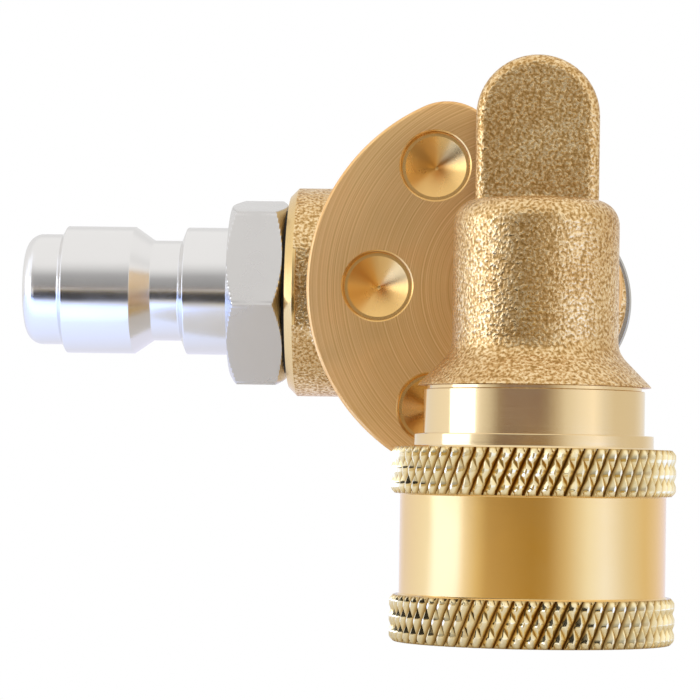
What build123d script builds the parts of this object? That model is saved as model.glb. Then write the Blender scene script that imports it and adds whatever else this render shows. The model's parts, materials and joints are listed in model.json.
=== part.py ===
from build123d import *
import math
import os

# Indexing swivel coupler for a pressure washer lance, in millimetres.
# A quick-connect socket (brass, with a knurled lock sleeve) and a quick-connect plug (steel) turn on
# each other about a hollow pivot stem. A pin in the socket's arm drops into one of five dimples in the
# index plate, and pressing the cap at the back lifts the pin clear so that the angle can be changed.
#
# Frame: +Z up along the socket's axis, origin at the centre of the socket's mouth, which is its foot.
# The pivot axis lies along Y and the plug points along -X. The model stands just released: the cap is
# pressed, the pin is clear of the plate, and the plate has still to move by release_travel to lock.

# Fits
running_gap = 0.05          # radial, between turning or sliding metal parts
ball_gap = 0.03             # radial, between a lock ball and its hole
detent_gap = 0.10           # radial, between the detent pin and a dimple's wall
locked_gap = 0.2            # between the arm's back face and the plate when the pin is home
detent_grip = 1.0           # how deep the pin stands in the dimple when it is home
release_travel = 1.2        # how far the plate stands off when the cap is pressed

# Quick-connect plug, measured from its nose along its axis
plug_collar_d = 11.8
plug_nose_d = 10.26
plug_neck_d = 9.3
plug_bore_d = 5.2
plug_nose_length = 3.7
plug_collar_length = 6.4
plug_back_taper = 1.8       # cone from the collar down to the neck
plug_neck_length = 2.6
plug_front_taper = 0.5      # cone from the neck up to the second collar
plug_second_collar_length = 4.2
plug_hex_flats = 16.0
plug_hex_length = 5.1
plug_hex_turn = 10.5        # how the tightened hexagon happens to stand, in degrees
plug_nose_round = 1.5
plug_thread_d = 12.0
plug_thread_length = 8.0
plug_face_gap = 0.3         # the hexagon stands off the boss on the face seal

# Index plate and its casting
pivot_height = 30.76
pitch_radius = 14.08        # dimples and detent pin, about the pivot
dimple_angles = [-90, -50, 0, 50, 90]
dimple_d = 6.2
dimple_wall = 1.15          # straight wall, before the drill point
drill_point_d = 5.32
drill_point_angle = 118.0
plate_thickness = 4.5
plate_edge = 0.3            # chamfer round the machined face
fan_radius = 17.75
fan_offset = 2.68           # the fan's centre stands off the pivot, towards the plug
fan_end_radius = 4.9        # the fan's two rounded corners
fan_end_turn = 5.8          # how far those corners reach past the outer dimples, in degrees
ear_width = 9.4             # round the dimples on both sides of the fan
outline_fillet = 1.0        # between the fan, the ears and the hub
plate_hub_radius = 7.7
boss_d = 19.3
boss_reach = 22.7           # from the pivot to the boss's machined end face
boss_rim = 0.75             # machined chamfer at that end
ball_end_reach = 7.5        # how far the casting's round end passes the pivot
hub_d = 15.2
hub_collar_d = 17.1
hub_collar_length = 4.6
hub_length = 22.6           # from the plate's face to the hub's back
plug_axis_offset = 12.5     # the plug's axis lies behind the plate's face
spring_pocket_depth = 4.3

# Pivot stem and what runs on it
stem_d = 9.0
stem_bore_d = 4.6
stem_tenon_d = 8.0
stem_tenon_end_depth = 4.0
stem_flange_d = 12.2
stem_flange_thickness = 1.6
stem_end_d = 7.0
stem_port_d = 3.4
stem_port_count = 4
port_groove_width = 4.0
port_groove_depth = 0.85
seal_section = 1.5
seal_groove_width = 1.9
front_seal_offset = -4.5    # from the plug's axis, along the stem
rear_seal_offset = 3.8
washer_d = 13.8
washer_thickness = 1.2
release_wire_d = 1.3
release_spring_d = 12.4     # mean diameter of the coils
release_coils = 4.5
wire_flat_count = 8         # a coil's wire is drawn with eight flats, which keeps the solid light
cap_d = 18.3
cap_gap = 0.4               # left between the pressed cap and the hub
cap_skirt = 3.6
cap_height = 6.2
cap_wall = 1.6
cap_recess_d = 12.0
cap_recess_depth = 1.6
cap_edge = 0.6
circlip_thickness = 0.8
circlip_d = 10.4
circlip_groove_depth = 0.45
circlip_opening = 50.0      # degrees left open in the ring

# Socket body, from the mouth upwards
socket_bore_d = 12.0
socket_bore_depth = 16.0
mouth_d = 12.4              # counterbore that leads a plug in, and ends below the lock balls
mouth_depth = 3.2
mouth_edge = 0.4            # chamfer round the outside of the mouth
nose_bore_d = 10.5
nose_bore_depth = 20.0
neck_step = 0.57            # the neck stands out from the barrel, and the sleeve's spring bears on it
neck_foot = 16.75
neck_top = 21.62
undercut_width = 0.35
undercut_depth = 0.25
flare_d = 19.8
flare_height = 2.88
column_d = 14.04
column_top = 37.4
shoulder_round = 2.1
flare_blend = 1.2
water_bore_d = 4.6
socket_seal_section = 1.9
socket_seal_foot = 16.6
socket_seal_width = 2.2
socket_seal_squeeze = 0.3   # how far the seal stands into the nose bore

# Arm and detent pin
arm_front_depth = 1.5       # behind the socket's axis
arm_back_depth = 12.3
arm_width = 10.6
arm_edge_round = 1.1
pivot_boss_d = 14.0
pin_socket_depth = 7.0
pin_chamfer = 0.4

# Lock balls and sleeve
lock_ball_d = 3.97
lock_ball_count = 6
lock_ball_height = 5.6
lock_ball_bite = 1.185      # how far a ball stands into the bore when locked
ball_land_gap = 0.065       # between a locked ball and the sleeve's land
ball_travel = 1.25
sleeve_travel = 3.9
sleeve_foot = 0.1
sleeve_top = 16.4
sleeve_wall = 1.2
knurl_rise = 0.8            # the knurled bands stand out from the sleeve
knurl_band = 3.9
knurl_count = 64            # diamonds in one turn
knurl_row_count = 3         # each row is set off by half a diamond, and reaches into its neighbours
knurl_depth = 0.45
knurl_edge = 0.35
sleeve_lip_wall = 0.68
sleeve_lip_height = 1.15
sleeve_land_top = 9.5
sleeve_spring_room = 0.4    # left round the outside of the sleeve's spring
stop_ring_ledge = 0.57      # what the sleeve rests on
stop_ring_thickness = 0.8
stop_ring_height = 1.1
stop_ring_groove_depth = 0.55
stop_ring_gap = 0.12
stop_ring_opening = 22.0
sleeve_wire_d = 0.8
sleeve_coils = 3.5

# Places worked out from the sizes above
plate_depth = arm_back_depth + locked_gap + release_travel
pin_d = dimple_d - 2 * detent_gap
pin_tip_depth = arm_back_depth + locked_gap + detent_grip
hub_bore_d = stem_d + 2 * running_gap
washer_seat_depth = plate_depth + washer_thickness - locked_gap
plug_axis_depth = plate_depth + plug_axis_offset
front_seal_depth = plug_axis_depth + front_seal_offset
rear_seal_depth = plug_axis_depth + rear_seal_offset
hub_back_depth = plate_depth + hub_length
spring_seat_depth = hub_back_depth - spring_pocket_depth
cap_front_depth = hub_back_depth + cap_gap
cap_seat_depth = cap_front_depth + cap_skirt
cap_back_depth = cap_front_depth + cap_height
plug_hex_root = boss_reach + plug_face_gap
plug_second_collar_foot = plug_hex_root + plug_hex_length
plug_neck_foot = plug_second_collar_foot + plug_second_collar_length + plug_front_taper
plug_collar_foot = plug_neck_foot + plug_neck_length + plug_back_taper
plug_nose_foot = plug_collar_foot + plug_collar_length
plug_tip = plug_nose_foot + plug_nose_length
ball_radius = lock_ball_d / 2
ball_centre_radius = socket_bore_d / 2 - lock_ball_bite + ball_radius
ramp = ball_travel / sleeve_travel
land_radius = ball_centre_radius + ball_radius + ball_land_gap
barrel_d = 2 * (land_radius - 2 * running_gap)
neck_d = barrel_d + 2 * neck_step
ramp_top = lock_ball_height + 0.3
stop_ring_top = stop_ring_height + stop_ring_thickness
ramp_foot_radius = land_radius + (ramp_top - stop_ring_top) * ramp
stop_ring_d = 2 * (ramp_foot_radius + stop_ring_ledge)
sleeve_spring_d = barrel_d + 2 * running_gap + sleeve_wire_d
sleeve_cavity_d = sleeve_spring_d + sleeve_wire_d + 2 * sleeve_spring_room
sleeve_d = sleeve_cavity_d + 2 * sleeve_wall
knurl_d = sleeve_d + 2 * knurl_rise
sleeve_lip_d = neck_d + 4 * running_gap + 2 * sleeve_lip_wall

# Local frames: each has its own Z along the piece's axis
pivot = Plane(origin=(0, 0, pivot_height), x_dir=(1, 0, 0), z_dir=(0, 1, 0))
pin_line = Plane(origin=(0, 0, pivot_height + pitch_radius), x_dir=(1, 0, 0), z_dir=(0, 1, 0))
plug_line = Plane(origin=(0, plug_axis_depth, pivot_height), x_dir=(0, 1, 0), z_dir=(-1, 0, 0))


def turned(*points):
    """A solid of revolution about Z from (radius, height) points."""
    face = make_face(Polyline(*[(r, 0, z) for r, z in points], close=True))
    return revolve(face, Axis.Z)


def rod(diameter, low, high):
    """A plain cylinder about Z between two heights."""
    return Pos(0, 0, low) * Cylinder(diameter / 2, high - low, align=(Align.CENTER, Align.CENTER, Align.MIN))


def tube(outer_d, inner_d, low, high):
    return rod(outer_d, low, high) - rod(inner_d, low, high)


def seal_ring(inner_d, section, height):
    """An O-ring about Z, its section centred on a height."""
    return Pos(0, 0, height) * Torus(inner_d / 2 + section / 2, section / 2)


def coil(mean_d, wire_d, low, high, turns):
    """A compression spring with its wire between two heights."""
    rise = high - low - wire_d
    path = Helix(pitch=rise / turns, height=rise, radius=mean_d / 2)
    section = Plane(origin=path @ 0, z_dir=path % 0) * RegularPolygon(wire_d / 2, wire_flat_count)
    return Pos(0, 0, low + wire_d / 2) * sweep(section, path=path, is_frenet=True)


def snap_ring(outer_d, inner_d, low, thickness, opening):
    """A flat ring with a gap of some degrees, open towards +X."""
    ring = tube(outer_d, inner_d, low, low + thickness)
    half = math.radians(opening / 2)
    reach = outer_d
    tip = (reach * math.cos(half), reach * math.sin(half))
    wedge = make_face(Polyline((0, 0), tip, (tip[0], -tip[1]), close=True))
    return ring - Pos(0, 0, low) * extrude(wedge, thickness)


def ball_places():
    """Radial frames of the lock balls: local X points outwards."""
    step = 360 / lock_ball_count
    return [Pos(0, 0, lock_ball_height) * Rot(0, 0, step * (i + 0.5)) for i in range(lock_ball_count)]


def ball_hole():
    """A lock ball's hole: round at its inner end, so that the ball can't fall into the bore."""
    r = ball_radius + ball_gap
    outline = Polyline((0, 0, -r), (0, 0, barrel_d / 2), (r, 0, barrel_d / 2), (r, 0, 0))
    arc = ThreePointArc((r, 0, 0), (r * math.sin(math.pi / 4), 0, -r * math.cos(math.pi / 4)), (0, 0, -r))
    return revolve(make_face(outline + arc), Axis.Z)


def socket_housing():
    column = turned(
        (0, 0), (barrel_d / 2 - mouth_edge, 0), (barrel_d / 2, mouth_edge), (barrel_d / 2, neck_foot),
        (neck_d / 2, neck_foot),
        (neck_d / 2, neck_top - undercut_width), (neck_d / 2 - undercut_depth, neck_top - undercut_width),
        (neck_d / 2 - undercut_depth, neck_top), (flare_d / 2, neck_top),
        (column_d / 2, neck_top + flare_height), (column_d / 2, column_top), (0, column_top),
    )
    rings = column.edges().filter_by(GeomType.CIRCLE)
    column = fillet(rings.filter_by_position(Axis.Z, column_top - 0.01, column_top + 0.01), shoulder_round)
    throat = neck_top + flare_height
    rings = column.edges().filter_by(GeomType.CIRCLE)
    column = fillet(rings.filter_by_position(Axis.Z, throat - 0.01, throat + 0.01), flare_blend)

    arm_depth = arm_back_depth - arm_front_depth
    blade = SlotCenterToCenter(pitch_radius, arm_width, rotation=90)
    arm = extrude(Pos(0, pitch_radius / 2) * blade, arm_depth)
    front = arm.faces().sort_by(Axis.Z)[-1]
    arm = fillet(front.edges(), arm_edge_round)
    arm = Plane(origin=(0, arm_back_depth, pivot_height), x_dir=(1, 0, 0), z_dir=(0, -1, 0)) * arm
    body = column + arm + pivot * rod(pivot_boss_d, 0, arm_back_depth)

    body -= rod(mouth_d, 0, mouth_depth)
    body -= rod(socket_bore_d, 0, socket_bore_depth)
    body -= rod(nose_bore_d, 0, nose_bore_depth)
    seal_room = nose_bore_d - socket_seal_squeeze + 2 * socket_seal_section
    body -= rod(seal_room, socket_seal_foot, socket_seal_foot + socket_seal_width)
    body -= rod(water_bore_d, 0, pivot_height)
    body -= pivot * rod(water_bore_d, -0.6 * water_bore_d, arm_back_depth)
    body -= pivot * rod(stem_tenon_d, stem_tenon_end_depth, arm_back_depth)
    flange_foot = arm_back_depth - stem_flange_thickness
    body -= pivot * rod(stem_flange_d, flange_foot, arm_back_depth)
    body -= pivot * rod(stem_tenon_d + 2 * seal_section, flange_foot - seal_section, flange_foot)
    body -= pin_line * rod(pin_d, arm_back_depth - pin_socket_depth, arm_back_depth)
    groove = tube(barrel_d, barrel_d - 2 * stop_ring_groove_depth, stop_ring_height, stop_ring_top)
    body -= groove
    for place in ball_places():
        body -= place * Pos(ball_centre_radius, 0, 0) * Rot(0, 90, 0) * ball_hole()
    return body


def pivot_stem():
    flange_foot = arm_back_depth - stem_flange_thickness
    stem = rod(stem_tenon_d, stem_tenon_end_depth, flange_foot)
    stem += rod(stem_flange_d, flange_foot, arm_back_depth)
    stem += rod(stem_d, arm_back_depth, cap_seat_depth)
    stem += rod(stem_end_d, cap_seat_depth, cap_back_depth - 0.3)
    stem -= rod(stem_bore_d, stem_tenon_end_depth, plug_axis_depth + stem_port_d)
    for depth in (front_seal_depth, rear_seal_depth):
        low = depth - seal_groove_width / 2
        stem -= tube(stem_d, stem_d - 2 * seal_section, low, low + seal_groove_width)
    low = plug_axis_depth - port_groove_width / 2
    stem -= tube(stem_d, stem_d - 2 * port_groove_depth, low, low + port_groove_width)
    for i in range(stem_port_count):
        port = Rot(0, 90, 360 / stem_port_count * i) * rod(stem_port_d, 0, stem_d)
        stem -= Pos(0, 0, plug_axis_depth) * port
    clip_foot = cap_back_depth - cap_recess_depth
    stem -= tube(stem_end_d, stem_end_d - 2 * circlip_groove_depth, clip_foot, clip_foot + circlip_thickness)
    return pivot * stem


def stem_seal(depth):
    return pivot * seal_ring(stem_d - 2 * seal_section, seal_section, depth)


def stem_static_seal():
    flange_foot = arm_back_depth - stem_flange_thickness
    return pivot * seal_ring(stem_tenon_d, seal_section, flange_foot - seal_section / 2)


def detent_pin():
    low = arm_back_depth - pin_socket_depth
    pin = rod(pin_d, low, pin_tip_depth)
    pin = chamfer(pin.faces().sort_by(Axis.Z)[-1].edges(), pin_chamfer)
    return pin_line * pin


def pitch_point(angle):
    """A dimple's place on the plate, its angle counted from the plug's direction."""
    a = math.radians(180 - angle)
    return pitch_radius * math.cos(a), pitch_radius * math.sin(a)


def plate_outline():
    """The index plate seen from the socket's side: fan, ears and hub, with X to the right and Y up."""
    outer_x, outer_y = pitch_point(max(a for a in dimple_angles if a < 90))
    end_angle = math.atan2(outer_y, outer_x + fan_offset) - math.radians(fan_end_turn)

    def fan_point(radius):
        return radius * math.cos(end_angle) - fan_offset, radius * math.sin(end_angle)

    far_x, far_y = fan_point(2 * fan_radius)
    left = -3 * fan_radius
    sides = ((-fan_offset, 0), (far_x, far_y), (left, far_y), (left, -far_y), (far_x, -far_y))
    outline = (Pos(-fan_offset, 0) * Circle(fan_radius)) & make_face(Polyline(*sides, close=True))
    end_x, end_y = fan_point(fan_radius - fan_end_radius)
    for y in (end_y, -end_y):
        outline += Pos(end_x, y) * Circle(fan_end_radius)
    outline += SlotCenterToCenter(2 * pitch_radius, ear_width, rotation=90)
    outline += Circle(plate_hub_radius)
    outline = make_face(outline.faces()[0].outer_wire())
    return offset(offset(outline, outline_fillet, kind=Kind.ARC), -outline_fillet, kind=Kind.ARC)


def dimple():
    """The tool that cuts a dimple, its rim at Z = 0 and its point upwards."""
    cone = drill_point_d / 2 / math.tan(math.radians(drill_point_angle / 2))
    return turned(
        (0, -1), (dimple_d / 2, -1), (dimple_d / 2, dimple_wall), (drill_point_d / 2, dimple_wall),
        (0, dimple_wall + cone),
    )


def index_body():
    """One casting: the index plate, the hub round the stem and the boss that the plug screws into."""
    front = Plane(origin=(0, plate_depth, pivot_height), x_dir=(1, 0, 0), z_dir=(0, -1, 0))
    plate = extrude(plate_outline(), -plate_thickness)
    rim = plate.faces().sort_by(Axis.Z)[-1].outer_wire().edges()
    plate = chamfer(rim, plate_edge)
    for angle in dimple_angles:
        plate -= Pos(*pitch_point(angle)) * Rot(180, 0, 0) * dimple()

    boss = rod(boss_d, boss_d / 2 - ball_end_reach, boss_reach)
    boss = chamfer(boss.faces().sort_by(Axis.Z)[-1].edges(), boss_rim)
    boss += Pos(0, 0, boss_d / 2 - ball_end_reach) * Sphere(boss_d / 2)
    body = front * plate + plug_line * boss + pivot * rod(hub_d, plate_depth + 1, hub_back_depth)
    body += pivot * rod(hub_collar_d, hub_back_depth - hub_collar_length, hub_back_depth)

    body -= pivot * rod(hub_bore_d, 0, hub_back_depth + 1)
    body -= pivot * rod(washer_d + 4 * running_gap, 0, washer_seat_depth)
    spring_room = release_spring_d + release_wire_d + 0.8
    body -= pivot * rod(spring_room, spring_seat_depth, hub_back_depth + 1)
    body -= plug_line * rod(plug_thread_d, boss_reach - plug_thread_length, boss_reach + 1)
    body -= plug_line * rod(plug_thread_d + 2 * seal_section, boss_reach - seal_section, boss_reach + 1)
    body -= plug_line * rod(plug_bore_d, 0, boss_reach)
    return body


def quick_plug():
    collar, neck, nose = plug_collar_d / 2, plug_neck_d / 2, plug_nose_d / 2
    stop = plug_hex_root + plug_hex_length / 2
    body = turned(
        (0, stop), (collar, stop), (collar, plug_neck_foot - plug_front_taper), (neck, plug_neck_foot),
        (neck, plug_neck_foot + plug_neck_length), (collar, plug_collar_foot), (collar, plug_nose_foot),
        (nose, plug_nose_foot + 0.4), (nose, plug_tip), (0, plug_tip),
    )
    body = fillet(body.faces().sort_by(Axis.Z)[-1].edges(), plug_nose_round)
    nut = extrude(RegularPolygon(plug_hex_flats / 2, 6, major_radius=False), plug_hex_length)
    nut = Rot(0, 0, -plug_hex_turn) * nut
    corner = plug_hex_flats / math.sqrt(3)
    drop = (corner - plug_hex_flats / 2) * math.tan(math.radians(30))
    flat = plug_hex_flats / 2
    nut &= turned(
        (0, 0), (flat, 0), (corner, drop), (corner, plug_hex_length - drop), (flat, plug_hex_length),
        (0, plug_hex_length),
    )
    body += Pos(0, 0, plug_hex_root) * nut
    body += rod(plug_thread_d, boss_reach - plug_thread_length, plug_hex_root)
    body -= rod(plug_bore_d, 0, plug_tip)
    return plug_line * body


def plug_face_seal():
    """The sealing ring squeezed under the hexagon, in the boss's mouth."""
    ring = tube(plug_thread_d + 2 * seal_section, plug_thread_d, boss_reach - seal_section, plug_hex_root)
    return plug_line * ring


def thrust_washer():
    low = washer_seat_depth - washer_thickness
    return pivot * tube(washer_d, stem_d + 4 * running_gap, low, washer_seat_depth)


def release_spring():
    return pivot * coil(release_spring_d, release_wire_d, spring_seat_depth, cap_seat_depth, release_coils)


def release_cap():
    cap = rod(cap_d, cap_front_depth, cap_back_depth)
    cap = fillet(cap.faces().sort_by(Axis.Z)[-1].edges(), cap_edge)
    cap -= rod(cap_d - 2 * cap_wall, cap_front_depth, cap_seat_depth)
    cap -= rod(stem_end_d, cap_front_depth, cap_back_depth)
    cap -= rod(cap_recess_d, cap_back_depth - cap_recess_depth, cap_back_depth)
    return pivot * cap


def cap_circlip():
    inner_d = stem_end_d - 2 * circlip_groove_depth
    low = cap_back_depth - cap_recess_depth
    return pivot * snap_ring(circlip_d, inner_d, low, circlip_thickness, circlip_opening)


def knurl_ring(low):
    """A disc whose rim carries the diamond knurl: its points stand out and its grooves cross between."""
    steps = 2 * knurl_count
    row_height = knurl_band / knurl_row_count
    rows = [low + row_height * (j + 0.5) for j in range(knurl_row_count)]
    heights = [low, *rows, low + knurl_band]
    ends = (0, knurl_row_count + 1)

    def corner(i, j):
        dip = knurl_depth + knurl_edge / 2 if j in ends else knurl_depth * ((i + j) % 2)
        a = 2 * math.pi * (i % steps) / steps
        radius = knurl_d / 2 - dip
        return radius * math.cos(a), radius * math.sin(a), heights[j]

    faces = [Face(Wire.make_polygon([corner(i, j) for i in range(steps)])) for j in ends]
    for i in range(steps):
        for j in range(knurl_row_count + 1):
            a, b, c, d = corner(i, j), corner(i + 1, j), corner(i + 1, j + 1), corner(i, j + 1)
            halves = ((a, b, c), (a, c, d)) if (i + j) % 2 else ((a, b, d), (b, c, d))
            faces += [Face(Wire.make_polygon(half)) for half in halves]
    return Solid(Shell(faces))


def lock_sleeve():
    body, lip = sleeve_d / 2, sleeve_lip_d / 2
    lip_top = sleeve_top + sleeve_lip_height
    sleeve = turned(
        (0, sleeve_foot), (body, sleeve_foot), (body, sleeve_top), (lip, sleeve_top), (lip, lip_top),
        (0, lip_top),
    )
    for low in (sleeve_foot, sleeve_top - knurl_band):
        sleeve += knurl_ring(low)

    neck_bore = neck_d / 2 + 2 * running_gap
    ring_room = stop_ring_d / 2 + stop_ring_gap
    cavity = sleeve_cavity_d / 2
    sleeve -= turned(
        (0, 0), (ring_room, 0), (ring_room, stop_ring_top), (ramp_foot_radius, stop_ring_top),
        (land_radius, ramp_top), (land_radius, sleeve_land_top), (cavity, sleeve_land_top),
        (cavity, neck_foot), (neck_bore, neck_foot), (neck_bore, lip_top + 1), (0, lip_top + 1),
    )
    return sleeve


def sleeve_spring():
    return coil(sleeve_spring_d, sleeve_wire_d, sleeve_land_top, neck_foot, sleeve_coils)


def sleeve_stop_ring():
    inner_d = barrel_d - 2 * stop_ring_groove_depth
    return snap_ring(stop_ring_d, inner_d, stop_ring_height, stop_ring_thickness, stop_ring_opening)


def socket_seal():
    inner_d = nose_bore_d - socket_seal_squeeze
    return seal_ring(inner_d, socket_seal_section, socket_seal_foot + socket_seal_width / 2)


parts = {
    "socket_housing": socket_housing(),
    "pivot_stem": pivot_stem(),
    "stem_static_seal": stem_static_seal(),
    "stem_front_seal": stem_seal(front_seal_depth),
    "stem_rear_seal": stem_seal(rear_seal_depth),
    "detent_pin": detent_pin(),
    "release_cap": release_cap(),
    "cap_circlip": cap_circlip(),
    "socket_seal": socket_seal(),
    "sleeve_stop_ring": sleeve_stop_ring(),
    "lock_sleeve": lock_sleeve(),
    "sleeve_spring": sleeve_spring(),
    "thrust_washer": thrust_washer(),
    "release_spring": release_spring(),
    "index_body": index_body(),
    "quick_plug": quick_plug(),
    "plug_face_seal": plug_face_seal(),
}
for number, place in enumerate(ball_places(), 1):
    parts[f"lock_ball_{number}"] = place * Pos(ball_centre_radius, 0, 0) * Sphere(ball_radius)

os.makedirs("parts", exist_ok=True)
for name, shape in parts.items():
    export_step(shape, f"parts/{name}.step")
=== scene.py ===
# %% [markdown]
# # A swivel coupler for a pressure washer, dressed in Blender
#
# The coupler is two small brass castings with steel fittings: a socket with a knurled lock sleeve, and
# an index plate with a screwed-in plug. The CAD frame gives every place and size. This notebook builds
# the surfaces that the eye meets: cast skin, turned brass, a diamond knurl, drilled dimples and plating.
#
# All shapes are written in millimetres and scaled once, when their mesh is made.

# %% Load the frame
import json
import math

import bmesh
import bpy
from mathutils import Matrix, Vector


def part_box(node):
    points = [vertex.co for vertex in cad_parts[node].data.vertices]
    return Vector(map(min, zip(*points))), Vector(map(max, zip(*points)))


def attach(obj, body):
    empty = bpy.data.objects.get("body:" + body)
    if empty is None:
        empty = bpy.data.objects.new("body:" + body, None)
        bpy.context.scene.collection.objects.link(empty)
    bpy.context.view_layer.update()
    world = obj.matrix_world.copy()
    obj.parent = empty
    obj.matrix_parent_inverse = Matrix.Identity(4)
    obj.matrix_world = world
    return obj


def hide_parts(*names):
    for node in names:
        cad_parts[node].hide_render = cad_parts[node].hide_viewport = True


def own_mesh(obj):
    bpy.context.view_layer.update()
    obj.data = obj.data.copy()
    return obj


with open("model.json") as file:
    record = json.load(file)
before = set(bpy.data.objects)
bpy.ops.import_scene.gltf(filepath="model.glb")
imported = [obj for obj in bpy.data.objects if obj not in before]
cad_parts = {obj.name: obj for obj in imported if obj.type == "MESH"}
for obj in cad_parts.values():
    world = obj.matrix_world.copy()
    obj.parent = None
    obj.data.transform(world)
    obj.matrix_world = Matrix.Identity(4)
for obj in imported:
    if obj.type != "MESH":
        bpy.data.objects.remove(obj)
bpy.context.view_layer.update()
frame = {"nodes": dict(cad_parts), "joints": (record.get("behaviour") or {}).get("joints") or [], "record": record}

mm = 0.001

# %% [markdown]
# ## Places read from the frame
#
# The swivel joint gives the pivot axis and the plug's mount gives the plug axis. Boxes of the CAD nodes
# give the planes where castings have been machined, so that a new size in the CAD moves the looks too.

# %% Axes and planes
joints = {joint["name"]: joint for joint in frame["joints"]}
mounts = {mount["name"]: mount for mount in frame["record"]["mounts"]}


def node_box(name):
    low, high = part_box(name)
    return Vector(low) / mm, Vector(high) / mm


pivot_z = joints["swivel"]["pos_m"][2] / mm
plug_y = mounts["plug_spigot"]["pos_m"][1] / mm
plate_y = node_box("index_body")[0].y
hub_back = node_box("index_body")[1].y
boss_reach = -node_box("index_body")[0].x
plug_tip = -node_box("quick_plug")[0].x
arm_back = node_box("socket_housing")[1].y
knurl_r = node_box("lock_sleeve")[1].x
pitch_r = node_box("detent_pin")[0].z / 2 + node_box("detent_pin")[1].z / 2 - pivot_z

along_socket = Matrix.Identity(4)
along_pivot = Matrix.Translation((0, 0, pivot_z)) @ Matrix(((1, 0, 0, 0), (0, 0, 1, 0), (0, -1, 0, 0), (0, 0, 0, 1)))
along_plug = Matrix.Translation((0, plug_y, pivot_z)) @ Matrix(((0, 0, -1, 0), (1, 0, 0, 0), (0, -1, 0, 0), (0, 0, 0, 1)))
print("pivot height", round(pivot_z, 2), "plug depth", round(plug_y, 2), "plate depth", round(plate_y, 2))

# %% [markdown]
# ## The camera
#
# The photograph is taken from straight in front of the pivot with a long lens, low down, so that the
# rims of the sleeve show as thin ellipses. The camera is turned a little to put the coupler off centre,
# which a real tripod head does too, and no lens shift is needed.

# %% Camera
photo_px = 700
focal_px = 3262.0
eye_px = (535.0, 468.0)
eye_z = 14.52
camera_distance = 275.8
sensor_mm = 36.0
camera_roll = math.radians(0.9)

camera_data = bpy.data.cameras.new("camera")
camera_data.sensor_width = sensor_mm
camera_data.lens = sensor_mm * focal_px / photo_px
camera_data.clip_start = 0.01
camera_data.clip_end = 20
camera = bpy.data.objects.new("camera", camera_data)
bpy.context.scene.collection.objects.link(camera)
middle_px = photo_px / 2
yaw = math.atan((eye_px[0] - middle_px) / focal_px)
pitch = math.atan((eye_px[1] - middle_px) / focal_px)
turn = Matrix.Rotation(yaw, 4, "Z") @ Matrix.Rotation(math.pi / 2 + pitch, 4, "X") @ Matrix.Rotation(camera_roll, 4, "Z")
camera.matrix_world = Matrix.Translation(Vector((0, -camera_distance, eye_z)) * mm) @ turn
bpy.context.scene.camera = camera
bpy.context.scene.view_settings.view_transform = "Standard"
print("lens", round(camera_data.lens, 1), "mm")

# %% [markdown]
# ## Small helpers for meshes
#
# A turned part is one outline swung round its axis, so `turned` is the lathe of this notebook. A sharp
# corner never shows on a real part: the tool or the polishing wheel leaves a small round, and that round
# is what catches the light. `eased` puts it on every corner of an outline.

# %% Outlines
def eased(points, radius, steps=3, closed=True):
    """The outline with its corners rounded, each by no more than a third of its sides.

    A point just beyond each round keeps the long face next to it flat in its shading."""
    result = []
    count = len(points)
    for i, corner in enumerate(points):
        if not closed and i in (0, count - 1):
            result.append(corner)
            continue
        here = Vector(corner)
        back = Vector(points[i - 1]) - here
        on = Vector(points[(i + 1) % count]) - here
        half = back.angle(on) / 2
        if half > math.radians(87):
            result.append(corner)
            continue
        reach = min(radius / math.tan(half), back.length / 3, on.length / 3)
        start = here + back.normalized() * reach
        end = here + on.normalized() * reach
        result.append(tuple(here + back.normalized() * reach * 1.3))
        for s in range(steps + 1):
            t = s / steps
            result.append(tuple(start * (1 - t) ** 2 + here * 2 * t * (1 - t) + end * t ** 2))
        result.append(tuple(here + on.normalized() * reach * 1.3))
    return result


def arc(centre, radius, start, end, steps):
    """Points on a circle between two angles in degrees."""
    angles = [math.radians(start + (end - start) * i / steps) for i in range(steps + 1)]
    return [(centre[0] + radius * math.cos(a), centre[1] + radius * math.sin(a)) for a in angles]


def inset(loop, distance):
    """The closed outline moved inwards by a distance; it runs anticlockwise."""
    moved = []
    for i, point in enumerate(loop):
        side = Vector(loop[(i + 1) % len(loop)]) - Vector(loop[i - 1])
        inward = Vector((-side.y, side.x)).normalized()
        moved.append(tuple(Vector(point) + inward * distance))
    return moved


# %% Meshes
def finish_mesh(name, bm, place, sharp=35.0):
    """A bmesh in millimetres becomes an object in the frame."""
    bmesh.ops.remove_doubles(bm, verts=bm.verts, dist=1e-4)
    bm.transform(place)
    bmesh.ops.recalc_face_normals(bm, faces=bm.faces)
    bm.transform(Matrix.Scale(mm, 4))
    mesh = bpy.data.meshes.new(name)
    bm.to_mesh(mesh)
    bm.free()
    mesh.shade_smooth()
    mesh.set_sharp_from_angle(angle=math.radians(sharp))
    piece = bpy.data.objects.new(name, mesh)
    bpy.context.scene.collection.objects.link(piece)
    return piece


def swing(bm, outline, steps=192, closed=True):
    """Swings a closed (radius, height) outline round Z inside a bmesh."""
    rings = []
    for i in range(steps):
        a = 2 * math.pi * i / steps
        rings.append([bm.verts.new((r * math.cos(a), r * math.sin(a), z)) for r, z in outline])
    sides = len(outline) if closed else len(outline) - 1
    for i, ring in enumerate(rings):
        onward = rings[(i + 1) % steps]
        for j in range(sides):
            k = (j + 1) % len(outline)
            corners = [ring[j], onward[j], onward[k], ring[k]]
            bm.faces.new(corners)
    return rings


def turned(name, outline, place, round_mm=0.12, steps=192):
    """A lathe part from a closed outline of (radius, height) points."""
    bm = bmesh.new()
    swing(bm, eased(outline, round_mm), steps)
    return finish_mesh(name, bm, place)


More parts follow.
